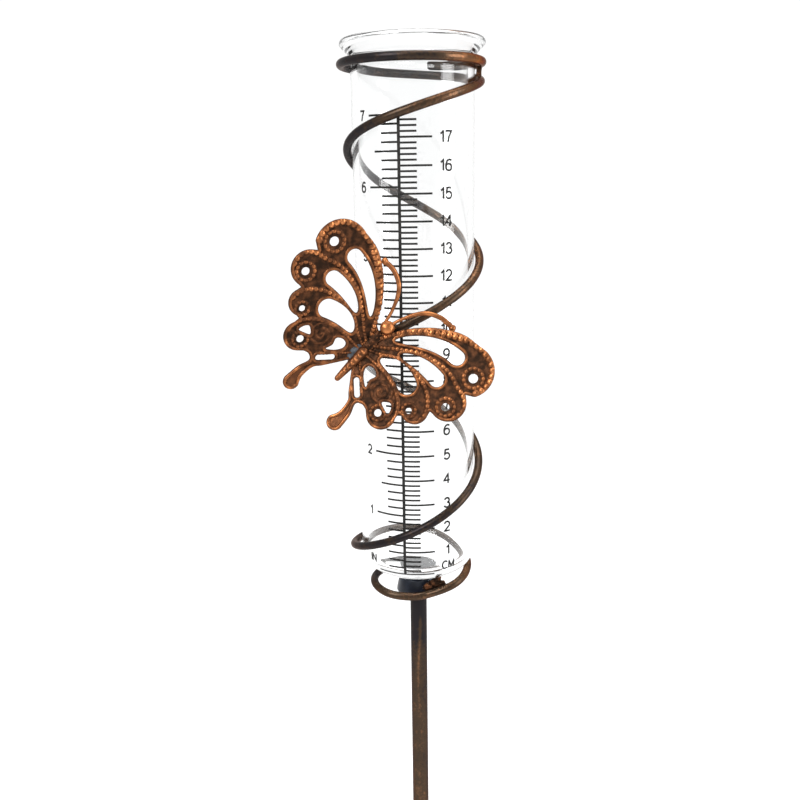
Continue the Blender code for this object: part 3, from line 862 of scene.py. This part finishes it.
def wire_axes(turn):
    """The wire's own directions at a turn: along it, away from the tube's axis, and across both."""
    ahead = (coil_point(turn + 0.005) - coil_point(turn - 0.005)).normalized()
    place = coil_point(turn)
    out = Vector((place.x, place.y, 0)).normalized()
    out = (out - ahead * out.dot(ahead)).normalized()
    return ahead, out, ahead.cross(out)


def make_head_weld():
    """Lumps of weld metal between the wire and the head."""
    ahead, out, up = wire_axes(HEAD_WELD_TURN)
    low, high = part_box("stake_head_weld")
    lumps = []
    for along, rise, semi_axes, seed in HEAD_WELD_LUMPS:
        place = (low + high) / 2 + (ahead * along + Vector((0, 0, rise)) - out * 0.5) * MM
        lumps.append(lump(place, semi_axes, (ahead, out, up), 0.35, seed))
    weld = joined(*lumps)
    add_copper("head_weld", weld, antique_copper("head_weld_copper"), "stake_head_weld",
               wandering(weld, 0.10, 0.4, 2.2))


def waisted(start, end, waist, ends, steps, sides, hint):
    """A straight bar of weld metal, thinner at its waist; its two radii are in millimetres."""
    shares = np.linspace(0, 1, steps + 1)
    radii = [(waist + (ends - waist) * (2 * share - 1) ** 2) * MM for share in shares]
    return swept([start.lerp(end, share) for share in shares], radii, sides, hint)


def make_ring_weld():
    """Weld metal between the end of the top ring and the turn below it."""
    weld = waisted(coil_point(TOP_WELD_TURN - 1), coil_point(TOP_WELD_TURN), *RING_WELD_RADII, 16,
                   20, Vector((0, 1, 0)))
    add_copper("ring_weld", weld, antique_copper("ring_weld_copper"), "top_ring_weld",
               [0.12] * len(weld[0]), sharp=45)


# Butterfly ------------------------------------------------------------------------


def butterfly_pose():
    """The turn from the butterfly's own frame to the CAD frame."""
    return (Matrix.Rotation(math.radians(BUTTERFLY_TURN), 3, "Z")
            @ Matrix.Rotation(math.radians(BUTTERFLY_TIP_BACK), 3, "X")
            @ Matrix.Rotation(math.radians(BUTTERFLY_LEAN), 3, "Y")
            @ Matrix.Rotation(math.radians(90), 3, "X"))


POSE = butterfly_pose()
BUTTERFLY_AXES = [POSE @ Vector(v) for v in ((1, 0, 0), (0, 1, 0), (0, 0, 1))]


def placed(points):
    """Points in the butterfly's frame, in millimetres, moved to the CAD frame."""
    return [BUTTERFLY_AT + POSE @ (Vector(p) * MM) for p in points]


def bezier(start, bend, end, s):
    """A point and its direction on a quadratic curve."""
    start, bend, end = Vector(start), Vector(bend), Vector(end)
    point = (1 - s) ** 2 * start + 2 * s * (1 - s) * bend + s * s * end
    direction = 2 * (1 - s) * (bend - start) + 2 * s * (end - bend)
    return point, direction.normalized()


def teardrop(tip, bend, end, radius, steps=40):
    """An opening that starts at a point and widens to a round end along a bent middle line."""
    near, far = [], []
    for step in range(1, steps + 1):
        s = (step / steps) ** 1.5
        point, direction = bezier(tip, bend, end, s)
        side = Vector((-direction.y, direction.x)) * radius * math.sqrt(s * (2 - s))
        near.append(tuple(point + side))
        far.append(tuple(point - side))
    _, direction = bezier(tip, bend, end, 1.0)
    heading = math.degrees(math.atan2(direction.y, direction.x))
    cap = arc(end, radius, heading + 90, heading - 90, 24)[1:-1]
    return [tip, *near, *cap, *reversed(far), tip]


def slot_hole(start, end, radius):
    """A long hole with round ends."""
    heading = math.degrees(math.atan2(end[1] - start[1], end[0] - start[0]))
    far = arc(end, radius, heading - 90, heading + 90, 16)
    near = arc(start, radius, heading + 90, heading + 270, 16)
    return [*far, *near, far[0]]


def wing_outline():
    """The wing's outer edge, closed at the butterfly's middle line."""
    first = arc(*WING_LOBES[0], 40)
    points = list(map(tuple, smooth_path([*LEADING_EDGE, first[0]], 0.5)))[:-1]
    for lobe, notch in zip(WING_LOBES, WING_NOTCHES):
        points += [*arc(*lobe, 40), notch]
    paddle = arc(*TAIL_PADDLE, 30)
    points += list(map(tuple, smooth_path([*TAIL_OUTER_EDGE, paddle[0]], 0.5)))[1:-1]
    points += paddle
    points += list(map(tuple, smooth_path([paddle[-1], *TAIL_INNER_EDGE], 0.5)))[1:]
    return [*points, points[0]]


def wing_loops():
    """Every edge of the wing as a closed polyline of even steps, the outline first."""
    loops = [wing_outline()]
    loops += [arc(centre, radius, 0, 360, 30) for centre, radius in ROUND_HOLES]
    loops += [teardrop(*shape) for shape in TEARDROPS]
    loops += [slot_hole(*SLOT)]
    loops += [smooth_path(opening, 0.2, closed=True) for opening in (LEAF, MOON)]
    return [resampled(np.array(loop, float), BOUNDARY_STEP)[:-1] for loop in loops]


def inside(loops, places):
    """True for each place that an odd number of edges lies to the right of."""
    crossings = np.zeros(len(places), bool)
    for loop in loops:
        for start, end in zip(loop, np.roll(loop, -1, axis=0)):
            spans = (start[1] > places[:, 1]) != (end[1] > places[:, 1])
            if start[1] == end[1]:
                continue
            share = (places[:, 1] - start[1]) / (end[1] - start[1])
            crossings ^= spans & (places[:, 0] < start[0] + share * (end[0] - start[0]))
    return crossings


def nearest_on(path, places):
    """Each place's distance from a polyline, and how far along the polyline that is."""
    best = np.full(len(places), np.inf)
    along = np.zeros(len(places))
    travelled = 0.0
    for start, end in zip(path[:-1], path[1:]):
        step = end - start
        length = np.linalg.norm(step)
        share = np.clip((places - start) @ step / length ** 2, 0.0, 1.0)
        gap = np.linalg.norm(places - start - share[:, None] * step, axis=1)
        closer = gap < best
        best[closer] = gap[closer]
        along[closer] = travelled + share[closer] * length
        travelled += length
    return best, along


def edge_distance(loops, places):
    """Each place's distance from the nearest edge of the wing."""
    gaps = [nearest_on(np.vstack([loop, loop[:1]]), places)[0] for loop in loops]
    return np.min(gaps, axis=0)


def grid_inside(loops, step, margin):
    """A triangular grid of places within the wing, at least a margin from its edges."""
    low, high = loops[0].min(axis=0), loops[0].max(axis=0)
    rows = np.arange(low[1], high[1], step * math.sqrt(3) / 2)
    places = []
    for index, y in enumerate(rows):
        xs = np.arange(low[0] + (index % 2) * step / 2, high[0], step)
        places.append(np.stack([xs, np.full(len(xs), y)], axis=1))
    places = np.concatenate(places)
    places = places[inside(loops, places)]
    return places[edge_distance(loops, places) > margin]


def offset_rings(loops, offset):
    """Places a little way in from every edge, to give the rims a clean round section."""
    rings = []
    for loop in loops:
        along = np.roll(loop, -1, axis=0) - np.roll(loop, 1, axis=0)
        along /= np.linalg.norm(along, axis=1)[:, None]
        across = np.stack([-along[:, 1], along[:, 0]], axis=1)
        rings += [loop + across * offset, loop - across * offset]
    places = np.concatenate(rings)
    places = places[inside(loops, places)]
    return places[edge_distance(loops, places) > offset * 0.93]


def triangulated(loops, inner):
    """(places, triangles) over the wing; the loops' points come first, in order."""
    border = np.concatenate(loops)
    places = np.concatenate([border, inner])
    edges, start = [], 0
    for loop in loops:
        edges += [(start + i, start + (i + 1) % len(loop)) for i in range(len(loop))]
        start += len(loop)
    made = delaunay_2d_cdt([Vector(p) for p in places], edges, [], 0, 1e-7, True)
    source = [ids[0] for ids in made[3]]
    triangles = np.array([[source[i] for i in face] for face in made[2]])
    centres = places[triangles].mean(axis=1)
    return places, triangles[inside(loops, centres)]


def dome(gap, half_width):
    """The height of a round-topped ridge at a distance from its middle, from 0 to 1."""
    return np.sqrt(np.clip(1 - (gap / half_width) ** 2, 0, None))


def beads(path, places, half_width, pitch, depth):
    """A ridge cut into beads, which are smaller near the path's start.

    The depth is how far the cuts go down into the ridge.
    """
    gap, along = nearest_on(path, places)
    reach = np.linalg.norm(np.diff(path, axis=0), axis=1).sum()
    stations = np.linspace(0.0, reach, 400)
    size = BEAD_START + (1 - BEAD_START) * np.minimum(stations / BEAD_GROWTH, 1.0)
    counts = np.cumsum(reach / 400 / (pitch * size))
    phase = (np.interp(along, stations, counts) % 1.0 - 0.5) * 2
    across = gap / (half_width * np.interp(along, stations, size))
    bead = np.sqrt(np.clip(1 - across ** 2 - (phase / 1.04) ** 2, 0, None))
    return (1 - depth) * dome(across, 1.0) + depth * bead


def swirl(places):
    """Spiral ridges that fill a disc of the hind wing."""
    away = places - np.array(SWIRL_CENTRE)
    radius = np.linalg.norm(away, axis=1)
    angle = np.arctan2(away[:, 1], away[:, 0])
    phase = radius / SWIRL_PITCH - angle / (2 * math.pi)
    fade = np.clip((SWIRL_RADIUS - radius) / 0.8, 0, 1)
    notches = 0.7 + 0.3 * np.cos(radius * angle * 2.6)
    return fade * notches * np.clip(0.25 + 0.75 * np.cos(2 * math.pi * phase), 0, None)


def wing_relief(loops, places):
    """The stamped height of the wing's front at each place, in millimetres."""
    rimmed = [loops[0], *loops[1 + len(ROUND_HOLES):]]
    gap = edge_distance(rimmed, places)
    height = RIM_HEIGHT * dome(gap - RIM_WIDTH / 2, RIM_WIDTH / 2)
    for route, half_width, pitch, tall, depth in BEAD_ROWS:
        row = beads(smooth_path(route, 0.4), places, half_width, pitch, depth)
        height = np.maximum(height, tall * row)
    for centre, radius, half_width, count in BEAD_RINGS:
        away = places - np.array(centre)
        across = (np.linalg.norm(away, axis=1) - radius) / half_width
        turn = np.arctan2(away[:, 1], away[:, 0]) / (2 * math.pi)
        phase = (turn * count % 1.0 - 0.5) * 2
        bead = np.sqrt(np.clip(1 - across ** 2 - phase ** 2, 0, None))
        height = np.maximum(height, 0.2 * dome(across, 1.0) + 0.5 * bead)
    return np.maximum(height, 0.45 * swirl(places))


def wing_wear(places, relief):
    """How bare the copper is, more on what stands high and on the tail, plus a painted highlight on the fore
    wing.
    """
    ripple = np.array([noise.noise(Vector((x, y, 0.0)) * 0.35) for x, y in places])
    # Painted highlight: the fore wing, which the light falls on, is made brighter copper.
    fore_highlight = np.clip((places[:, 1] + 6.0) / 20.0, 0.0, 1.0)
    tail = np.clip((-19.0 - places[:, 1]) / 6.0, 0.0, 1.0)
    raised = np.clip(relief / 0.85, 0, 1)
    return np.clip(0.10 + 0.26 * tail + (0.42 + 0.25 * fore_highlight + 0.6 * ripple) * raised ** 0.9, 0, 1)


def make_wings():
    """Two mirrored wings, each a pierced plate with a stamped front and a flat back."""
    loops = wing_loops()
    rings = [offset_rings(loops, offset) for offset in RIM_STEPS]
    middle = grid_inside(loops, GRID_STEP, RIM_STEPS[-1] + GRID_STEP * 0.7)
    front, front_faces = triangulated(loops, np.concatenate([*rings, middle]))
    back, back_faces = triangulated(loops, grid_inside(loops, BACK_GRID_STEP, BACK_GRID_STEP * 0.4))
    relief = wing_relief(loops, front)
    # Wear of the raised copper, with a painted highlight on the fore wing.
    wear_and_highlight = wing_wear(front, relief)
    ripple = np.array([noise.noise(Vector((x, y, 0.0)) * 0.9) for x, y in front])

    copper = antique_copper("wing_copper")
    for name, node, side in (("wing_left", "left_wing", -1), ("wing_right", "right_wing", 1)):
        fold = Matrix.Rotation(-side * math.radians(WING_RISE), 3, "Y")
        tops = np.column_stack([side * front[:, 0], front[:, 1], relief + WING_RIPPLE * ripple])
        unders = np.column_stack([side * back[:, 0], back[:, 1], np.full(len(back), WING_BACK)])
        vertices = placed([fold @ Vector(p) for p in np.concatenate([tops, unders])])
        faces = [list(map(int, face)) for face in front_faces]
        faces += [[int(i) + len(front) for i in face] for face in back_faces]
        start = 0
        for loop in loops:
            for i in range(len(loop)):
                a, b = start + i, start + (i + 1) % len(loop)
                faces.append([a, b, b + len(front), a + len(front)])
            start += len(loop)
        wear_and_highlight_all = np.concatenate([wear_and_highlight, np.full(len(back), 0.3)])
        add_copper(name, (vertices, faces), copper, node, wear_and_highlight_all, sharp=50)


def make_feelers():
    """Two feelers that curve out from the head and end in a knob."""
    copper = antique_copper("feeler_copper")
    for name, node, side in (("feeler_left", "left_antenna", -1), ("feeler_right", "right_antenna", 1)):
        reach = side * FEELER_SPREAD[side]
        route = smooth_path([(reach * x + FEELER_SHIFT, y, z) for x, y, z in FEELER_ROUTE], 0.5)
        share = np.linspace(0, len(FEELER_RADII) - 1, len(route))
        radii = np.interp(share, range(len(FEELER_RADII)), FEELER_RADII) * MM
        middles = placed(route)
        stalk = swept(middles, list(radii), 16, BUTTERFLY_AXES[2])
        knob = lump(middles[-1], [FEELER_KNOB] * 3, BUTTERFLY_AXES, 0.12, 2.0 + side)
        feeler = joined(stalk, knob)
        add_copper(name, feeler, copper, node, wandering(feeler, 0.7, 0.25, 3.0))


def body_solid(centre, semi_axes, bumps):
    """An ellipsoid in the butterfly's frame whose surface is raised by bumps(direction)."""
    mesh = bmesh.new()
    bmesh.ops.create_uvsphere(mesh, u_segments=96, v_segments=64, radius=1.0)
    points, heights = [], []
    for vertex in mesh.verts:
        raised = bumps(vertex.co)
        heights.append(raised)
        points.append([centre[k] + vertex.co[k] * (semi_axes[k] + raised) for k in range(3)])
    mesh.verts.index_update()
    faces = [[v.index for v in f.verts] for f in mesh.faces]
    mesh.free()
    return placed(points), faces, heights


def make_thorax():
    """The thorax, with small beads."""
    def beading(direction):
        rows = math.atan2(direction.x, direction.z) / math.radians(44)
        along = direction.y * 2.7 + 0.5 * (round(rows * 2) % 2)
        bead = max(0.0, math.cos(math.pi * rows * 2)) * max(0.0, math.cos(math.pi * along * 2))
        return 0.45 * bead + 0.25 * noise.noise(direction * 2.5)

    points, faces, heights = body_solid(*THORAX, beading)
    add_copper("thorax", (points, faces), antique_copper("thorax_copper"), "butterfly_thorax",
               0.05 + 0.8 * np.clip(heights, 0, 1))


def make_head_ball():
    """The smooth round head."""
    points, faces, heights = body_solid(*HEAD_BALL, lambda direction: 0.12 * noise.noise(direction * 1.5))
    add_copper("head_ball", (points, faces), antique_copper("head_copper"), "butterfly_head",
               0.82 + np.array(heights))


def make_abdomen():
    """A tapered abdomen with a row of beads down its front."""
    rows, sides = 150, 40
    vertices, relief, faces = [], [], []
    for row in range(rows + 1):
        share = row / rows
        start = min(share / 0.12, 1.0)
        radius = ABDOMEN_RADIUS * math.sqrt(start * (2 - start)) * (1 - 0.55 * share)
        radius *= math.sqrt(max(0.0, 1 - max(0.0, (share - 0.93) / 0.07) ** 2))
        beading = math.cos(2 * math.pi * share * 8.5) if share < 0.8 else -1.0
        for k in range(sides):
            angle = 2 * math.pi * k / sides
            facing = max(0.0, math.cos(angle)) ** 10
            lift = 0.42 * facing * max(0.0, 0.25 + 0.75 * beading) * (1 - 0.5 * share)
            reach = max(radius, 0.02) + lift
            vertices.append((BODY_SHIFT + reach * math.sin(angle), ABDOMEN_START - ABDOMEN_LENGTH * share,
                             ABDOMEN_MIDDLE + reach * math.cos(angle)))
            relief.append(0.3 + 0.25 * share + 1.5 * lift)
    for low in range(0, rows * sides, sides):
        for k in range(sides):
            a, b = low + k, low + (k + 1) % sides
            faces.append([a, b, b + sides, a + sides])
    faces += [list(range(sides)), list(range(rows * sides, (rows + 1) * sides))]
    add_copper("abdomen", (placed(vertices), faces), antique_copper("abdomen_copper"),
               "butterfly_abdomen", relief)


def make_butterfly_weld():
    """The neck of weld metal from the wire to the butterfly's back."""
    wire = coil_point(BUTTERFLY_WELD_TURN)
    x, y, _ = POSE.inverted() @ (wire - BUTTERFLY_AT) / MM
    back = placed([(x, y, BUTTERFLY_BACK)])[0]
    neck = waisted(wire, back, *BUTTERFLY_WELD_RADII, 18, 24, BUTTERFLY_AXES[0])
    add_copper("butterfly_weld_neck", neck, antique_copper("butterfly_weld_copper"), "butterfly_weld",
               wandering(neck, 0.3, 0.3, 2.0))


def make_solder():
    """A smear of solder beside the body."""
    centre, semi_axes = PUDDLE
    puddle = lump(placed([centre])[0], semi_axes, BUTTERFLY_AXES, 0.05, 5.0)
    add_piece("solder_puddle", puddle, solder("solder_grey"), HOLDER, sharp=80)


# Studio ---------------------------------------------------------------------------


def make_camera():
    """The camera, turned down, then round, then rolled."""
    data = bpy.data.cameras.new("camera")
    data.lens = CAMERA_LENS
    data.sensor_width = SENSOR
    camera = add_object("camera", data)
    yaw, down, roll = (math.radians(a) for a in (CAMERA_YAW, CAMERA_DOWN, CAMERA_ROLL))
    ahead = Vector((math.sin(yaw) * math.cos(down), math.cos(yaw) * math.cos(down), -math.sin(down)))
    right = Vector((math.cos(yaw), -math.sin(yaw), 0))
    below = ahead.cross(right)
    level = math.cos(roll) * right + math.sin(roll) * below
    lower = -math.sin(roll) * right + math.cos(roll) * below
    turn = Matrix((level, -lower, -ahead)).transposed()
    camera.matrix_world = Matrix.Translation(CAMERA_AT) @ turn.to_4x4()
    bpy.context.scene.camera = camera
    bpy.context.scene.view_settings.view_transform = "Standard"


def add_light(name, at, aim, size, power):
    """A soft lamp."""
    data = bpy.data.lights.new(name, "AREA")
    data.shape = "RECTANGLE"
    data.size, data.size_y = size
    data.energy = power
    lamp = add_object(name, data)
    lamp.location = at
    lamp.rotation_euler = (Vector(at) - aim).to_track_quat("Z", "Y").to_euler()


def make_floor():
    """A white floor, just below the stake's tip."""
    top, bottom = -0.4 * MM, -20 * MM
    vertices, faces = lathe([(0.0, top), (FLOOR_RADIUS, top), (FLOOR_RADIUS, bottom), (0.0, bottom)], 64)
    data = bpy.data.meshes.new("floor")
    data.from_pydata(vertices, [], faces)
    material, tree, shader = principled("floor_white")
    feed(tree, shader, {"Base Color": (0.83, 0.83, 0.83, 1.0), "Roughness": 0.9,
                        "Emission Color": (1, 1, 1, 1), "Emission Strength": 0.33})
    data.materials.append(material)
    add_object("floor", data)


def make_surround():
    """A white surround, brighter behind the object, that the camera sees as pure white."""
    world = bpy.data.worlds.new("studio")
    bpy.context.scene.world = world
    world.use_nodes = True
    tree = world.node_tree
    place = add_node(tree, "TexCoord", "Generated")
    facing = spread(tree, add_node(tree, "SeparateXYZ", "Y", {"Vector": place}), 0.7, 1.05, -0.6, 0.7)
    seen = maths(tree, "MULTIPLY", add_node(tree, "LightPath", "Is Camera Ray"), 1.02)
    feed(tree, tree.nodes["Background"], {"Color": (1, 1, 1, 1),
                                          "Strength": maths(tree, "MAXIMUM", facing, seen)})


def make_lamps():
    """Three soft lamps aimed at the middle of the tube."""
    middle = Vector((0, 0, SCALE_ZERO + 90 * MM))
    add_light("key", (-0.55, -0.75, 1.35), middle, (0.5, 0.8), 14)
    add_light("fill", (0.85, -0.35, 0.85), middle, (0.4, 0.9), 7)
    add_light("top", (0.1, 0.1, 1.75), middle, (0.9, 0.9), 12)


make_glass()
ink = black_ink("scale_ink")
make_scale_lines(ink)
make_scale_numbers(ink)
make_stake()
make_head()
make_pad()
make_spiral()
make_head_weld()
make_ring_weld()
make_wings()
make_feelers()
make_thorax()
make_head_ball()
make_abdomen()
make_butterfly_weld()
make_solder()
make_camera()
make_floor()
make_surround()
make_lamps()

bpy.context.view_layer.update()
